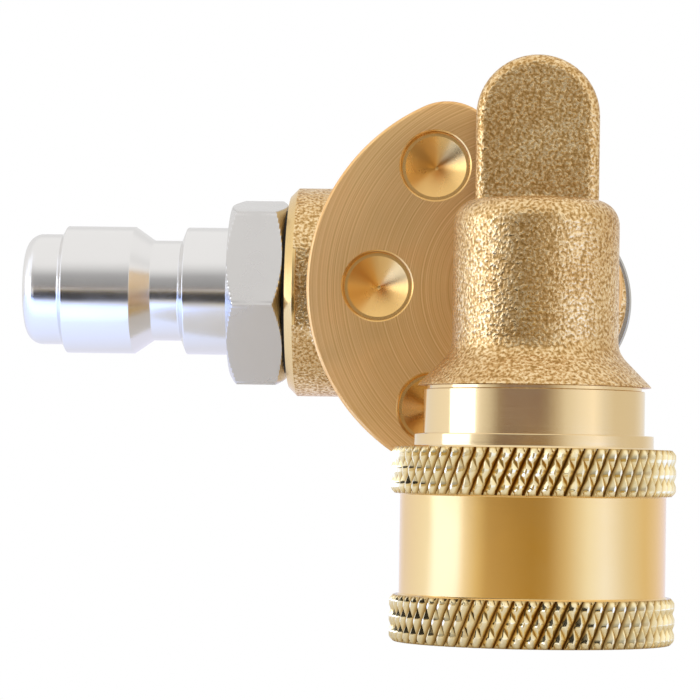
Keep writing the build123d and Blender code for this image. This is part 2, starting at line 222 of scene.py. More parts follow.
def stack(bm, loop, layers):
    """Closed slab whose outline is inset and placed at each (inset, height) layer."""
    rows = []
    for step_in, height in layers:
        rows.append([bm.verts.new((x, y, height)) for x, y in inset(loop, step_in)])
    for low, high in zip(rows, rows[1:]):
        for i in range(len(loop)):
            k = (i + 1) % len(loop)
            bm.faces.new((low[i], low[k], high[k], high[i]))
    return rows


# %% [markdown]
# ## Small helpers for materials
#
# Colours are written as sRGB hex values, the way a colour card gives them, and turned to the linear
# values that the shader wants. One function adds a node, sets it and links it.

# %% Nodes
def linear(hex_colour):
    parts = [int(hex_colour[i:i + 2], 16) / 255 for i in (1, 3, 5)]
    values = [p / 12.92 if p <= 0.04045 else ((p + 0.055) / 1.055) ** 2.4 for p in parts]
    return (*values, 1.0)


def add(tree, kind, inputs=None, **settings):
    """Adds one node. Inputs are plain values or output sockets to link."""
    made = tree.nodes.new(kind)
    for key, value in settings.items():
        setattr(made, key, value)
    for key, value in (inputs or {}).items():
        if isinstance(value, bpy.types.NodeSocket):
            tree.links.new(value, made.inputs[key])
        else:
            made.inputs[key].default_value = value
    return made


def math_node(tree, operation, *values):
    return add(tree, "ShaderNodeMath", dict(enumerate(values)), operation=operation).outputs[0]


def ramp(tree, factor, stops):
    """A colour ramp from (position, hex colour) stops."""
    made = add(tree, "ShaderNodeValToRGB", {0: factor})
    elements = made.color_ramp.elements
    while len(elements) < len(stops):
        elements.new(0.5)
    for element, (position, colour) in zip(elements, stops):
        element.position = position
        element.color = linear(colour)
    return made.outputs[0]


def new_metal(name, base, roughness):
    """A metal with its default IOR, ready for a pattern."""
    material = bpy.data.materials.new(name)
    material.use_nodes = True
    tree = material.node_tree
    shader = tree.nodes["Principled BSDF"]
    shader.inputs["Base Color"].default_value = linear(base)
    shader.inputs["Metallic"].default_value = 1.0
    shader.inputs["Roughness"].default_value = roughness
    coordinates = tree.nodes.new("ShaderNodeTexCoord").outputs["Object"]
    return material, tree, shader, coordinates


def grain_scale(size_mm):
    """Noise scale that gives features of this size, with coordinates in metres."""
    return 1 / (size_mm * mm)


# %% [markdown]
# ## Cast brass
#
# Both bodies are forged or cast in brass and blasted clean. The skin is a pebbled one, with grains of a
# third of a millimetre that each throw a small glint. The colour is paler and greyer than turned brass,
# because the blasted skin is matt and a little oxidised. The colour also follows the grain height: it is
# lightened on the tops of the grains, a painted glint, and darkened in the pits, painted shade.

# %% Cast skin
def cast_brass():
    material, tree, shader, where = new_metal("blasted_cast_brass", "#DDB983", 0.3)
    grains = add(tree, "ShaderNodeTexNoise", {"Vector": where, "Scale": grain_scale(0.26), "Detail": 1.5, "Roughness": 0.5})
    pits = add(tree, "ShaderNodeTexVoronoi", {"Vector": where, "Scale": grain_scale(0.36)}, feature="SMOOTH_F1")
    patches = add(tree, "ShaderNodeTexNoise", {"Vector": where, "Scale": grain_scale(5.0), "Detail": 3.0})
    height = math_node(tree, "SUBTRACT", grains.outputs["Fac"], math_node(tree, "MULTIPLY", pits.outputs["Distance"], 0.5))
    bump = add(tree, "ShaderNodeBump", {"Height": height, "Strength": 1.0, "Distance": 0.085 * mm})
    # Painted light: the tone follows the bump's noise, lighter on the grain tops (painted glint) and darker in the pits
    # (painted shade).
    tone = ramp(tree, grains.outputs["Fac"], [(0.34, "#B58F55"), (0.47, "#DCB67C"), (0.62, "#FBE2B4")])
    patch_tone = ramp(tree, patches.outputs["Fac"], [(0.3, "#EDE2D2"), (0.7, "#FFFFFF")])
    colour = add(tree, "ShaderNodeMix", {0: 1.0, 6: tone, 7: patch_tone}, data_type="RGBA", blend_type="MULTIPLY")
    gloss = add(tree, "ShaderNodeMapRange", {0: grains.outputs["Fac"], 1: 0.35, 2: 0.62, 3: 0.42, 4: 0.22})
    tree.links.new(colour.outputs[2], shader.inputs["Base Color"])
    tree.links.new(gloss.outputs[0], shader.inputs["Roughness"])
    tree.links.new(bump.outputs[0], shader.inputs["Normal"])
    return material


# %% [markdown]
# ## Turned brass
#
# Where the tool has cut, the brass is bright and golden, with fine rings left by the feed. The rings run
# round the axis of the cut, so their height depends only on the distance along or from that axis. On
# the index plate they are circles about the pivot, and they stretch every reflection along the radius.

# %% Machined surfaces
def ring_marks(tree, where, centre, axis, spacing_mm, along_axis):
    """Noise that only varies along an axis, or only with the distance from it."""
    local = add(tree, "ShaderNodeMapping", {"Vector": where, "Location": [-c * mm for c in centre]})
    parts = add(tree, "ShaderNodeSeparateXYZ", {0: local.outputs[0]})
    others = [i for i in range(3) if i != axis]
    squares = [math_node(tree, "POWER", parts.outputs[i], 2.0) for i in others]
    radius = math_node(tree, "SQRT", math_node(tree, "ADD", *squares))
    line = parts.outputs[axis] if along_axis else radius
    rings = add(tree, "ShaderNodeTexNoise", {"W": line, "Scale": grain_scale(spacing_mm), "Detail": 4.0,
                                             "Roughness": 0.7}, noise_dimensions="1D")
    return rings.outputs["Fac"], local.outputs[0]


def turned_brass(name, base, roughness, centre, axis, spacing_mm, depth_mm, along_axis=True):
    material, tree, shader, where = new_metal(name, base, roughness)
    rings, local = ring_marks(tree, where, centre, axis, spacing_mm, along_axis)
    bump = add(tree, "ShaderNodeBump", {"Height": rings, "Strength": 0.6, "Distance": depth_mm * mm})
    smudge = add(tree, "ShaderNodeTexNoise", {"Vector": where, "Scale": grain_scale(4.0), "Detail": 4.0})
    gloss = add(tree, "ShaderNodeMapRange", {0: smudge.outputs["Fac"], 1: 0.3, 2: 0.7, 3: roughness * 0.85,
                                             4: roughness * 1.25})
    tree.links.new(gloss.outputs[0], shader.inputs["Roughness"])
    tree.links.new(bump.outputs[0], shader.inputs["Normal"])
    return material, tree, shader, rings, local


def plate_brass():
    """The faced index plate: rings about the pivot, reflections drawn out across them."""
    material, tree, shader, rings, local = turned_brass(
        "faced_brass", "#F2C683", 0.5, (0, 0, pivot_z), 1, 0.14, 0.005, along_axis=False)
    shader.inputs["Anisotropic"].default_value = 0.5
    tangent = add(tree, "ShaderNodeVectorMath", {0: local, 1: (0, 1, 0)}, operation="CROSS_PRODUCT")
    tree.links.new(tangent.outputs[0], shader.inputs["Tangent"])
    tone = ramp(tree, rings, [(0.32, "#E0B06A"), (0.5, "#EFC283"), (0.7, "#FFD9A0")])
    tree.links.new(tone, shader.inputs["Base Color"])
    return material


def knurled_brass():
    """Rolled knurl: bright on the diamonds and darker brown down in the grooves, which is painted shade."""
    material, tree, shader, rings, local = turned_brass(
        "knurled_brass", "#FAE8BC", 0.13, (0, 0, 0), 2, 0.3, 0.002)
    flat = add(tree, "ShaderNodeVectorMath", {0: local, 1: (1, 1, 0)}, operation="MULTIPLY")
    from_axis = add(tree, "ShaderNodeVectorMath", {0: flat.outputs[0]}, operation="LENGTH")
    # Painted shade: the colour darkens with depth below the knurl's crowns and is brown at the groove bottoms.
    painted_groove_shade = add(tree, "ShaderNodeMapRange", {0: from_axis.outputs["Value"], 1: (knurl_r - 0.42) * mm, 2: knurl_r * mm})
    tone = ramp(tree, painted_groove_shade.outputs[0], [(0.0, "#94713A"), (0.25, "#D2B173"), (0.5, "#F6E2AE"), (1.0, "#FDF0CC")])
    tree.links.new(tone, shader.inputs["Base Color"])
    return material


def rubber():
    """Black nitrile rubber, as moulded: matt, with a faint bloom."""
    material = bpy.data.materials.new("black_nitrile_rubber")
    material.use_nodes = True
    tree = material.node_tree
    shader = tree.nodes["Principled BSDF"]
    where = tree.nodes.new("ShaderNodeTexCoord").outputs["Object"]
    bloom = add(tree, "ShaderNodeTexNoise", {"Vector": where, "Scale": grain_scale(1.5), "Detail": 3.0})
    tree.links.new(ramp(tree, bloom.outputs["Fac"], [(0.35, "#0E0E0E"), (0.7, "#1C1B1A")]), shader.inputs["Base Color"])
    shader.inputs["Roughness"].default_value = 0.55
    return material


def steel(name, base, roughness, centre, axis, spacing_mm=0.25, depth_mm=0.004):
    """Turned steel with faint feed lines round its axis."""
    return turned_brass(name, base, roughness, centre, axis, spacing_mm, depth_mm)[0]


pivot_point = (0, 0, pivot_z)
plug_point = (0, plug_y, pivot_z)
cast = cast_brass()
faced = plate_brass()
drilled = turned_brass("drilled_brass", "#EBC079", 0.26, pivot_point, 1, 0.3, 0.002)[0]
polished = turned_brass("polished_brass", "#F0CA84", 0.15, (0, 0, 0), 2, 0.5, 0.003)[0]
neck_brass = turned_brass("turned_neck_brass", "#EDD3A4", 0.09, (0, 0, 0), 2, 0.4, 0.0015)[0]
knurled = knurled_brass()
rim_brass = turned_brass("faced_rim_brass", "#E8C688", 0.22, plug_point, 0, 0.3, 0.004)[0]
hub_brass = turned_brass("turned_hub_brass", "#E2BD78", 0.2, pivot_point, 1, 0.3, 0.004)[0]
plated = steel("bright_nickel_plate", "#E4E2E0", 0.19, plug_point, 0)
hexagon_steel = steel("brushed_hexagon_nickel", "#D8D5D2", 0.24, plug_point, 0, 0.12, 0.01)
stainless = steel("turned_stainless_steel", "#C9C8C5", 0.2, pivot_point, 1)
ball_steel = steel("hardened_ball_steel", "#CFCFCE", 0.08, (0, 0, 0), 2, 0.5, 0.0005)
spring_wire = steel("drawn_spring_steel", "#8F8F90", 0.3, (0, 0, 0), 2, 0.1, 0.004)
nitrile = rubber()
print(len(bpy.data.materials), "materials")

# %% [markdown]
# ## The floor, the backdrop and the light
#
# Bright metal shows its surroundings and little else, so a product photographer builds those
# surroundings from white cards and black flags. The coupler stands on a white table with a big overhead
# softbox. Cards stand at both sides, and the dark side of the room, behind the camera, gives the brown
# stripe down the middle of the sleeve and the black undersides of the plug.

# %% Stage
def plain(name, base, roughness=0.9):
    material = bpy.data.materials.new(name)
    material.use_nodes = True
    shader = material.node_tree.nodes["Principled BSDF"]
    shader.inputs["Base Color"].default_value = linear(base)
    shader.inputs["Roughness"].default_value = roughness
    shader.inputs["Specular IOR Level"].default_value = 0.0
    return material


def white_to_camera(name, base, glow_hex):
    """Looks white in the camera, and stays a plain surface for the light and for reflections."""
    material = plain(name, base)
    tree = material.node_tree
    shader = tree.nodes["Principled BSDF"]
    output = tree.nodes["Material Output"]
    white = add(tree, "ShaderNodeEmission", {0: linear(glow_hex)})
    path = tree.nodes.new("ShaderNodeLightPath")
    mixed = add(tree, "ShaderNodeMixShader", {0: path.outputs["Is Camera Ray"], 1: shader.outputs[0], 2: white.outputs[0]})
    tree.links.new(mixed.outputs[0], output.inputs[0])
    return material


def panel(name, centre, across, up, material):
    """A flat rectangle, given in mm by its centre and its two half sides."""
    c, a, u = Vector(centre), Vector(across), Vector(up)
    mesh = bpy.data.meshes.new(name)
    corners = [c - a - u, c + a - u, c + a + u, c - a + u]
    mesh.from_pydata([p * mm for p in corners], [], [(0, 1, 2, 3)])
    mesh.materials.append(material)
    made = bpy.data.objects.new(name, mesh)
    bpy.context.scene.collection.objects.link(made)
    return made


def glowing(name, tone, strength):
    material = bpy.data.materials.new(name)
    material.use_nodes = True
    tree = material.node_tree
    tree.nodes.remove(tree.nodes["Principled BSDF"])
    light = add(tree, "ShaderNodeEmission", {0: linear(tone), 1: strength})
    tree.links.new(light.outputs[0], tree.nodes["Material Output"].inputs[0])
    return material


def around(azimuth, elevation, distance, centre=(0, 10, 25)):
    """A point at a compass direction seen from the coupler: 0 is towards the camera, + is to the right."""
    a, e = math.radians(azimuth), math.radians(elevation)
    side = Vector((math.sin(a) * math.cos(e), -math.cos(a) * math.cos(e), math.sin(e)))
    return Vector(centre) + side * distance


def card(name, azimuth, elevation, distance, wide, high, material):
    """A card that faces the coupler from a direction. It lights and reflects, and stays out of the picture."""
    centre = around(azimuth, elevation, distance)
    away = (centre - Vector((0, 10, 25))).normalized()
    across = away.cross(Vector((0, 0, 1))).normalized()
    up = across.cross(away)
    made = panel(name, centre, across * wide / 2, up * high / 2, material)
    made.visible_camera = False
    return made


floor_tone = "#FFFFFF"
floor_white = white_to_camera("white_table", "#F2F2F2", floor_tone)
floor = panel("floor", (0, 0, -0.05), (6000, 0, 0), (0, 6000, 0), floor_white)
print("stage:", floor.name)

# %% [markdown]
# ## The socket's casting
#
# Column, flare, arm and pivot boss are one forging, so their joins are soft: the metal can't fill a sharp
# inner corner. Each form is made as its own closed solid. A voxel remesh melts them into one skin, a few
# smoothing passes leave the small fillets, and the planes that a cutter has faced are cut flat again.

# %% Casting tools
def lathe_solid(bm, outline, place, steps=128):
    """Adds a closed lathe solid to a bmesh; the outline starts and ends on the axis."""
    fresh = bmesh.new()
    swing(fresh, outline, steps, closed=False)
    bmesh.ops.remove_doubles(fresh, verts=fresh.verts, dist=1e-4)
    fresh.transform(place)
    bmesh.ops.recalc_face_normals(fresh, faces=fresh.faces)
    add_bmesh(bm, fresh)


def slab_solid(bm, loop, layers, place):
    """Adds a closed slab with the given (inset, height) layers, the caps closed by fans."""
    fresh = bmesh.new()
    rows = stack(fresh, loop, layers)
    for row in (rows[0], rows[-1]):
        bmesh.ops.contextual_create(fresh, geom=row)
    bmesh.ops.triangulate(fresh, faces=[f for f in fresh.faces if len(f.verts) > 4])
    fresh.transform(place)
    bmesh.ops.recalc_face_normals(fresh, faces=fresh.faces)
    add_bmesh(bm, fresh)


def add_bmesh(bm, other):
    scratch = bpy.data.meshes.new("scratch")
    other.to_mesh(scratch)
    other.free()
    bm.from_mesh(scratch)
    bpy.data.meshes.remove(scratch)


def melted(bm, voxel_mm, smooth_steps):
    """One skin round all the solids in a bmesh, its inner corners softened. Works in millimetres."""
    mesh = bpy.data.meshes.new("melting")
    bm.to_mesh(mesh)
    bm.free()
    rough = bpy.data.objects.new("melting", mesh)
    bpy.context.scene.collection.objects.link(rough)
    remesh = rough.modifiers.new("one skin", "REMESH")
    remesh.mode = "VOXEL"
    remesh.voxel_size = voxel_mm
    smooth = rough.modifiers.new("soft corners", "SMOOTH")
    smooth.iterations = smooth_steps
    smooth.factor = 0.5
    evaluated = rough.evaluated_get(bpy.context.evaluated_depsgraph_get())
    skin = bpy.data.meshes.new_from_object(evaluated)
    bpy.data.objects.remove(rough)
    result = bmesh.new()
    result.from_mesh(skin)
    bpy.data.meshes.remove(skin)
    return result


def cut_flat(bm, point, normal):
    """Cuts the skin by a plane, as a facing cutter does, and closes it. The side of the normal goes."""
    geom = bm.verts[:] + bm.edges[:] + bm.faces[:]
    cut = bmesh.ops.bisect_plane(bm, geom=geom, plane_co=point, plane_no=normal, clear_outer=True)
    rim = [e for e in cut["geom_cut"] if isinstance(e, bmesh.types.BMEdge)]
    bmesh.ops.holes_fill(bm, edges=rim, sides=0)


def slot_loop(width, length, steps=24):
    """Outline of an arm with a round end: foot at the origin, end centre at a height."""
    r = width / 2
    top = arc((0, length), r, 0, 180, steps)
    return [(-r, -r), (r, -r)] + top


# %% Column and arm
neck_top = 21.62
flare_r = 9.9
flare_height = 2.88
column_r = node_box("socket_housing")[1].x * 0 + 7.02
column_top = 37.4
arm_front = 1.5
arm_width = 10.6
arm_round = 1.1
shoulder = 2.1
voxel = 0.16

bm = bmesh.new()
throat = neck_top + flare_height
column = [(0, neck_top - 1.0), (flare_r, neck_top - 1.0), (flare_r, neck_top), (column_r + 0.5, throat - 0.45),
          (column_r + 0.12, throat + 0.2), (column_r, throat + 0.9)]
column += arc((column_r - shoulder, column_top - shoulder), shoulder, 0, 90, 12) + [(0, column_top)]
lathe_solid(bm, column, along_socket)
boss = [(0, 0), (7.0, 0), (7.0, arm_back + 0.4), (0, arm_back + 0.4)]
lathe_solid(bm, boss, along_pivot)
arm_place = Matrix.Translation((0, 0, pivot_z)) @ Matrix(((1, 0, 0, 0), (0, 0, 1, 0), (0, 1, 0, 0), (0, 0, 0, 1)))
front_round = [(arm_round * (1 - math.sin(math.radians(a))), arm_front + arm_round * (1 - math.cos(math.radians(a))))
               for a in range(0, 91, 10)]
slab_solid(bm, slot_loop(arm_width, pitch_r), front_round + [(0, arm_back + 0.4)], arm_place)
bm = melted(bm, voxel, 6)
cut_flat(bm, (0, 0, neck_top), (0, 0, -1))
cut_flat(bm, (0, arm_back, 0), (0, 1, 0))
housing_casting = finish_mesh("housing_casting", bm, along_socket, sharp=50)
housing_casting.data.materials.append(cast)
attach(housing_casting, "socket_half")
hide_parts("socket_housing")
print("casting:", len(housing_casting.data.polygons), "faces")

# %% [markdown]
# The lower end of the same body is turned: a polished neck under the flare, with a thin groove where the
# tool ran out, and the barrel that the sleeve slides on. Its bores are open, as the real ones are.

# %% Turned neck and barrel
neck_r, barrel_r = 9.32, 8.75
neck = [(6.2, 0), (barrel_r - 0.4, 0), (barrel_r, 0.4), (barrel_r, 1.1), (barrel_r - 0.55, 1.1), (barrel_r - 0.55, 1.9),
        (barrel_r, 1.9), (barrel_r, 16.75), (neck_r, 16.75), (neck_r, neck_top - 0.35), (neck_r - 0.25, neck_top - 0.35),
        (neck_r - 0.25, neck_top), (5.25, neck_top), (5.25, 16.0), (6.0, 16.0), (6.0, 3.2), (6.2, 3.2)]
housing_neck = turned("housing_neck", neck, along_socket, 0.05, 256)
housing_neck.data.materials.append(neck_brass)
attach(housing_neck, "socket_half")
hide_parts("socket_housing")

# %% [markdown]
# ## The index plate
#
# The plate is faced on a lathe about the pivot, so its rings are circles round a centre that the column
# hides. Its rim is broken by a small chamfer, which shows as a thin bright line. The outline is a fan
# that carries three dimples in view, with ears above and below for the two end positions.

# %% Plate outline
dimple_angles = (-90, -50, 0, 50, 90)
dimple_r = 3.1
fan_r, fan_off, fan_end_r, fan_end_turn = 17.75, 2.68, 4.9, 5.8
ear_width = 9.4
plate_hub_r = 7.7
plate_back = plate_y + 4.5


def pitch_point(angle):
    a = math.radians(180 - angle)
    return Vector((pitch_r * math.cos(a), pitch_r * math.sin(a)))


end_point = pitch_point(50) + Vector((fan_off, 0))
end_angle = math.degrees(math.atan2(end_point.y, end_point.x)) - fan_end_turn
fan_centre = Vector((-fan_off, 0))
turn_in = Vector((math.cos(math.radians(end_angle)), math.sin(math.radians(end_angle))))
end_centre = fan_centre + turn_in * (fan_r - fan_end_r)


def plate_reach(angle_deg):
    """Distance from the pivot to the plate's rim in one direction."""
    a = math.radians(angle_deg)
    ray = Vector((math.cos(a), math.sin(a)))

    def circle_reach(centre, radius):
        along = centre.dot(ray)
        rest = radius ** 2 - (centre.length_squared - along ** 2)
        return along + math.sqrt(rest) if rest > 0 else 0

    reach = plate_hub_r
    rim_point = fan_centre + Vector((0, 0))
    fan_hit = circle_reach(fan_centre, fan_r)
    hit = ray * fan_hit - fan_centre
    if abs(math.degrees(math.atan2(hit.y, hit.x))) >= end_angle:
        reach = max(reach, fan_hit)
    for side in (1, -1):
        reach = max(reach, circle_reach(Vector((end_centre.x, side * end_centre.y)), fan_end_r))
        reach = max(reach, circle_reach(Vector((0, side * pitch_r)), ear_width / 2))
    if ray.x and abs(ear_width / 2 / ray.x * ray.y) <= pitch_r:
        reach = max(reach, abs(ear_width / 2 / ray.x))
    return reach


rim_steps = 720
plate_loop = []
for i in range(rim_steps):
    angle = 360 * i / rim_steps
    reach = plate_reach(angle)
    plate_loop.append((reach * math.cos(math.radians(angle)), reach * math.sin(math.radians(angle))))
print("plate rim:", len(plate_loop), "points")

# %% [markdown]
# The dimples are drilled: a short straight wall, a small ledge where the reamer stopped, and the drill's
# 118 degree point, whose flutes leave the cone bright. The plate's mesh is its rim, its three turned
# kinds of hole and one flat face filled between them.

# %% Plate mesh
facing = Matrix.Translation((0, 0, pivot_z)) @ Matrix(((1, 0, 0, 0), (0, 0, 1, 0), (0, 1, 0, 0), (0, 0, 0, 1)))
drill_r = 2.66
dimple_wall = 1.15
drill_point = drill_r / math.tan(math.radians(59))
dimple_profile = [(dimple_r + 0.12, plate_y), (dimple_r, plate_y + 0.1), (dimple_r, plate_y + dimple_wall - 0.1),
                  (dimple_r - 0.1, plate_y + dimple_wall), (drill_r + 0.06, plate_y + dimple_wall),
                  (drill_r, plate_y + dimple_wall + 0.04), (0.22, plate_y + dimple_wall + drill_point - 0.13),
                  (0, plate_y + dimple_wall + drill_point - 0.02)]
bm = bmesh.new()
chamfer = 0.28
rows = stack(bm, plate_loop, [(0, plate_back), (0, plate_y + chamfer), (0.05, plate_y + chamfer * 0.6),
                              (chamfer * 0.8, plate_y + 0.02), (chamfer, plate_y)])
rims = [rows[-1]]
for angle in dimple_angles:
    middle = pitch_point(angle)
    rings = swing(bm, dimple_profile, 96, closed=False)
    for ring in rings:
        for vert in ring:
            vert.co.x += middle.x
            vert.co.y += middle.y
    rims.append([ring[0] for ring in rings])
rim_edges = [bm.edges.get((row[i], row[i - 1])) or bm.edges.new((row[i], row[i - 1])) for row in rims for i in range(len(row))]
bmesh.ops.triangle_fill(bm, use_beauty=True, use_dissolve=False, edges=rim_edges)
back_edges = [bm.edges.get((rows[0][i], rows[0][i - 1])) for i in range(rim_steps)]
bmesh.ops.triangle_fill(bm, use_beauty=True, use_dissolve=False, edges=back_edges)
index_plate = finish_mesh("index_plate", bm, facing, sharp=24)
index_plate.data.materials.append(faced)
index_plate.data.materials.append(drilled)
index_plate.data.materials.append(cast)
for polygon in index_plate.data.polygons:
    depth = polygon.center.y / mm - plate_y
    local = Vector((polygon.center.x, polygon.center.z)) / mm - Vector((0, pivot_z))
    in_dimple = any((local - pitch_point(angle)).length < dimple_r + 0.1 for angle in dimple_angles)
    if in_dimple and depth > 0.02:
        polygon.material_index = 1
    elif not in_dimple and depth > 0.9:
        polygon.material_index = 2
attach(index_plate, "plug_half")
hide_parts("index_body")

# %% [markdown]
# Behind the plate is the casting: the boss that the plug screws into, its ball end, and the hub round the
# stem. The boss's end is turned, with a bright chamfer round the dark gap that the sealing ring fills.

# %% Boss and hub
boss_r = 9.65
ball_reach = node_box("index_body")[1].x * 0 + 7.5
boss_rim = 0.75
hub_r, collar_r, collar_length = 7.6, 8.55, 4.6
bm = bmesh.new()
ball = arc((0, boss_r - ball_reach), boss_r, -90, 0, 24)
ball = [(x, y) for x, y in ball]
lathe_solid(bm, ball + [(boss_r, boss_reach + 0.6), (0, boss_reach + 0.6)], along_plug)
lathe_solid(bm, [(0, plate_back - 1.5), (hub_r, plate_back - 1.5), (hub_r, hub_back - collar_length),
                 (collar_r, hub_back - collar_length + 0.5), (collar_r, hub_back), (0, hub_back)], along_pivot)
back_loop = inset(plate_loop, 0.02)
slab_solid(bm, back_loop[::2], [(0, plate_back - 1.5), (0, plate_back + 0.05)], facing)
bm = melted(bm, voxel, 5)
cut_flat(bm, (-boss_reach + boss_rim, 0, 0), (-1, 0, 0))
cut_flat(bm, (0, plate_back - 1.0, 0), (0, -1, 0))
cut_flat(bm, (0, hub_back - 0.6, 0), (0, 1, 0))
index_casting = finish_mesh("index_casting", bm, along_socket, sharp=50)
index_casting.data.materials.append(cast)
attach(index_casting, "plug_half")
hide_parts("index_body")

boss_end = [(5.2, boss_reach - boss_rim - 0.3), (boss_r - 0.02, boss_reach - boss_rim - 0.3), (boss_r, boss_reach - boss_rim),
            (boss_r - boss_rim, boss_reach), (7.5, boss_reach), (7.5, boss_reach - 1.5), (6.0, boss_reach - 1.5),
            (6.0, boss_reach - 3.0), (5.2, boss_reach - 3.0)]
boss_ring = turned("boss_end", boss_end, along_plug, 0.06, 256)
boss_ring.data.materials.append(rim_brass)
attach(boss_ring, "plug_half")
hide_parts("index_body")

hub_end = [(7.25, hub_back - 4.3), (7.25, hub_back), (collar_r - 0.25, hub_back), (collar_r, hub_back - 0.25),
           (collar_r, hub_back - 0.7), (collar_r - 0.6, hub_back - 0.7), (collar_r - 0.6, hub_back - 4.3)]
hub_ring = turned("hub_end", hub_end, along_pivot, 0.05, 192)
hub_ring.data.materials.append(hub_brass)
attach(hub_ring, "plug_half")
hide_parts("index_body")

# %% [markdown]
# ## The lock sleeve
#
# The sleeve is turned and polished, with a knurl at both ends for wet fingers. A knurling wheel rolls two
# sets of crossed grooves and leaves rows of diamonds between them. The height of the skin is therefore
# the lower of two saws, one for each set of grooves, and that is what the nodes below work out on a grid
# that is wrapped round the sleeve.

# %% Sleeve body
sleeve_foot, sleeve_top, band = 0.1, 16.4, 3.9
sleeve_r, lip_r, lip_top = knurl_r - 0.8, 10.1, 17.55
sleeve_outline = [(10.82, sleeve_foot + 0.3), (11.1, sleeve_foot), (11.35, sleeve_foot), (11.35, sleeve_foot + band),
                  (sleeve_r, sleeve_foot + band + 0.1), (sleeve_r, sleeve_top - band - 0.1), (11.35, sleeve_top - band),
                  (11.35, sleeve_top), (lip_r + 0.15, sleeve_top), (lip_r, sleeve_top + 0.15), (lip_r, lip_top),
                  (9.42, lip_top), (9.42, 16.75), (10.0, 16.75), (10.0, 9.5), (8.85, 9.5), (8.85, 5.9), (10.1, 1.9),
                  (10.82, 1.9)]
lock_sleeve = turned("sleeve_body", sleeve_outline, along_socket, 0.1, 320)
lock_sleeve.data.materials.append(polished)
lock_sleeve.data.materials.append(neck_brass)
for polygon in lock_sleeve.data.polygons:
    polygon.material_index = int(polygon.center.z > sleeve_top * mm)
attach(lock_sleeve, "sleeve")
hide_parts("lock_sleeve")


# %% Knurl nodes
def knurl_nodes():
    """Wraps a grid into a band whose height follows two crossed sets of grooves."""
    group = bpy.data.node_groups.new("diamond_knurl", "GeometryNodeTree")
    face = group.interface
    for name, kind, value in (("Radius", "NodeSocketFloat", 0.012), ("Height", "NodeSocketFloat", 0.0039),
                              ("Foot", "NodeSocketFloat", 0.0), ("Depth", "NodeSocketFloat", 0.00045),
                              ("Chamfer", "NodeSocketFloat", 0.00035), ("Count", "NodeSocketInt", 64),
                              ("Rows", "NodeSocketFloat", 3.0), ("Detail", "NodeSocketInt", 12)):
        made = face.new_socket(name, in_out="INPUT", socket_type=kind)
        made.default_value = value
    face.new_socket("Material", in_out="INPUT", socket_type="NodeSocketMaterial")
    face.new_socket("Geometry", in_out="OUTPUT", socket_type="NodeSocketGeometry")
    given = group.nodes.new("NodeGroupInput").outputs
    across = math_node(group, "ADD", math_node(group, "MULTIPLY", given["Count"], given["Detail"]), 1.0)
    half_rows = math_node(group, "MULTIPLY", given["Rows"], 0.5)
    upward = math_node(group, "ADD", math_node(group, "MULTIPLY", given["Detail"], half_rows), 1.0)
    grid = add(group, "GeometryNodeMeshGrid", {0: 1.0, 1: 1.0, 2: across, 3: upward})
    uv = add(group, "ShaderNodeSeparateXYZ", {0: grid.outputs[1]})
    turns, rise = uv.outputs[0], uv.outputs[1]
    u = math_node(group, "MULTIPLY", turns, given["Count"])
    v = math_node(group, "ADD", math_node(group, "MULTIPLY", rise, half_rows), 0.25)
    saws = []
    for mixed, steepness in zip((math_node(group, "SUBTRACT", u, v), math_node(group, "ADD", u, v)), groove_steepness):
        away = math_node(group, "PINGPONG", mixed, 0.5)
        saws.append(math_node(group, "MULTIPLY", away, steepness))
    saws[1] = math_node(group, "ADD", 0.3, math_node(group, "MULTIPLY", 0.7, saws[1]))
    crown = math_node(group, "MINIMUM", 1.0, math_node(group, "MINIMUM", *saws))
    raised = math_node(group, "MULTIPLY", given["Depth"], math_node(group, "SUBTRACT", crown, 1.0))
    knurl_radius = math_node(group, "ADD", given["Radius"], raised)
    from_end = math_node(group, "MULTIPLY", math_node(group, "PINGPONG", rise, 0.5), given["Height"])
    turned_radius = math_node(group, "ADD", math_node(group, "SUBTRACT", given["Radius"], given["Chamfer"]), from_end)
    radius = math_node(group, "MINIMUM", knurl_radius, turned_radius)
    angle = math_node(group, "MULTIPLY", turns, 2 * math.pi)
    x = math_node(group, "MULTIPLY", radius, math_node(group, "COSINE", angle))
    y = math_node(group, "MULTIPLY", radius, math_node(group, "SINE", angle))
    z = math_node(group, "ADD", given["Foot"], math_node(group, "MULTIPLY", rise, given["Height"]))
    place = add(group, "ShaderNodeCombineXYZ", {0: x, 1: y, 2: z})
    wrapped = add(group, "GeometryNodeSetPosition", {0: grid.outputs[0], 2: place.outputs[0]})
    seam = add(group, "GeometryNodeMergeByDistance", {0: wrapped.outputs[0], "Distance": 1e-7})
    real = add(group, "GeometryNodeRealizeInstances", {0: seam.outputs[0]})
    dressed = add(group, "GeometryNodeSetMaterial", {"Geometry": real.outputs[0], "Material": given["Material"]})
    add(group, "NodeGroupOutput", {0: dressed.outputs[0]})
    return group


def by_nodes(name, group, values):
    """A plain mesh object from a node group, its inputs set by their names."""
    holder = bpy.data.objects.new(name, bpy.data.meshes.new(name))
    bpy.context.scene.collection.objects.link(holder)
    modifier = holder.modifiers.new("nodes", "NODES")
    modifier.node_group = group
    for item in group.interface.items_tree:
        if item.in_out == "INPUT" and item.name in values:
            modifier[item.identifier] = values[item.name]
    evaluated = holder.evaluated_get(bpy.context.evaluated_depsgraph_get())
    mesh = bpy.data.meshes.new_from_object(evaluated)
    holder.modifiers.clear()
    holder.data = mesh
    return holder


